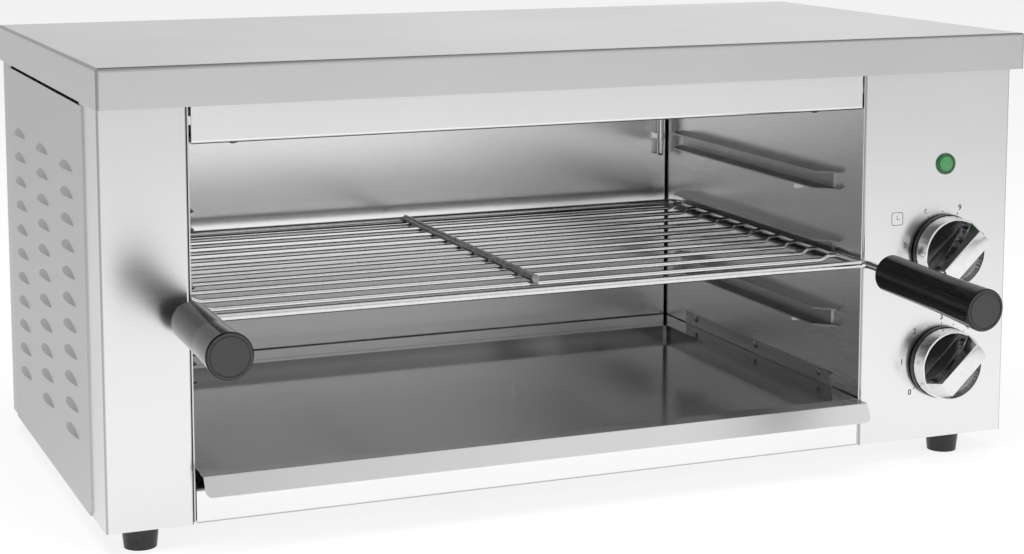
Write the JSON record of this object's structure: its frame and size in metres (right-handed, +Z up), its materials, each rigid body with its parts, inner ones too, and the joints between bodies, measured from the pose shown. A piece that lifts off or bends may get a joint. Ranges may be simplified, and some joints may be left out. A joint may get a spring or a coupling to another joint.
{
  "type": "cheese melter",
  "caption": "Open-fronted electric grill in folded steel: wire rack with two grips on channel rails, drip tray, elements under the lid, timer and heat knobs, pilot lamp.",
  "frame": {"origin": "on the counter, under the middle of the whole object's outline, rack grips included", "axes": "+X from left to right seen from the front, +Y from the front to the back, +Z up"},
  "size_m": [0.6122, 0.4513, 0.28],
  "materials": {
    "brushed_steel": "fine horizontal brushing",
    "liner_steel": "dull mill finish",
    "polished_steel": "bright, slightly blurred reflections",
    "tray_steel": "smooth bright floor, grey reflections",
    "wire_steel": "bright drawn wire",
    "element_sheath": "heat-dulled sheath",
    "zinc_steel": "zinc plated",
    "knob_chrome": "bright plating with fine turning lines",
    "black_plastic": "smooth moulded phenolic",
    "housing_plastic": "matt moulded",
    "lamp_green": "translucent green",
    "ceramic": "pale heat-proof body",
    "foot_rubber": "matt moulded"
  },
  "bodies": {
    "cabinet": {"lid": "brushed_steel", "left_column": "brushed_steel", "control_panel": "brushed_steel", "header_strip": "brushed_steel", "base_pan": "brushed_steel", "left_side_panel": "brushed_steel", "right_side_panel": "brushed_steel", "back_panel": "brushed_steel", "header_brackets": "liner_steel", "cavity_left_wall": "liner_steel", "cavity_right_wall": "liner_steel", "cavity_back_wall": "polished_steel", "reflector_plate": "polished_steel", "front_element": "element_sheath", "rear_element": "element_sheath", "element_supports": "liner_steel", "element_bushes": "zinc_steel", "limiter_bulb": "wire_steel", "limiter_housing": "ceramic", "rail_left_top": "liner_steel", "rail_left_middle": "liner_steel", "rail_left_bottom": "liner_steel", "rail_right_top": "liner_steel", "rail_right_middle": "liner_steel", "rail_right_bottom": "liner_steel", "tray_guide_left": "liner_steel", "tray_guide_right": "liner_steel", "timer_housing": "housing_plastic", "timer_nut": "zinc_steel", "regulator_housing": "housing_plastic", "regulator_nut": "zinc_steel", "lamp_bezel": "lamp_green", "lamp_lens": "lamp_green", "terminal_block": "ceramic", "cable_gland": "housing_plastic", "foot_front_left": "foot_rubber", "foot_front_right": "foot_rubber", "foot_rear_left": "foot_rubber", "foot_rear_right": "foot_rubber", "foot_screws": "zinc_steel", "lid_nuts": "zinc_steel", "guide_screws": "zinc_steel", "header_screws": "zinc_steel", "back_screws": "zinc_steel"},
    "rack": {"wire_rack": "wire_steel", "handle_rod_left": "wire_steel", "handle_rod_right": "wire_steel", "grip_left": "black_plastic", "grip_right": "black_plastic"},
    "tray": {"drip_tray": "tray_steel"},
    "timer_control": {"timer_shaft": "zinc_steel", "timer_knob_base": "black_plastic", "timer_knob": "knob_chrome"},
    "heat_control": {"regulator_shaft": "zinc_steel", "regulator_knob_base": "black_plastic", "regulator_knob": "knob_chrome"}
  },
  "joints": [
    {"name": "rack_slide", "type": "slide", "parent": "cabinet", "child": "rack", "axis": [0, -1, 0], "range_m": [0, 0.18]},
    {"name": "tray_slide", "type": "slide", "parent": "cabinet", "child": "tray", "axis": [0, -1, 0], "range_m": [0, 0.2]},
    {"name": "timer_turn", "type": "hinge", "parent": "cabinet", "child": "timer_control", "pos_m": [0.2495, -0.091, 0.139], "axis": [0, 1, 0], "range_deg": [0, 261]},
    {"name": "heat_turn", "type": "hinge", "parent": "cabinet", "child": "heat_control", "pos_m": [0.2495, -0.091, 0.0645], "axis": [0, 1, 0], "range_deg": [0, 258]}
  ]
}
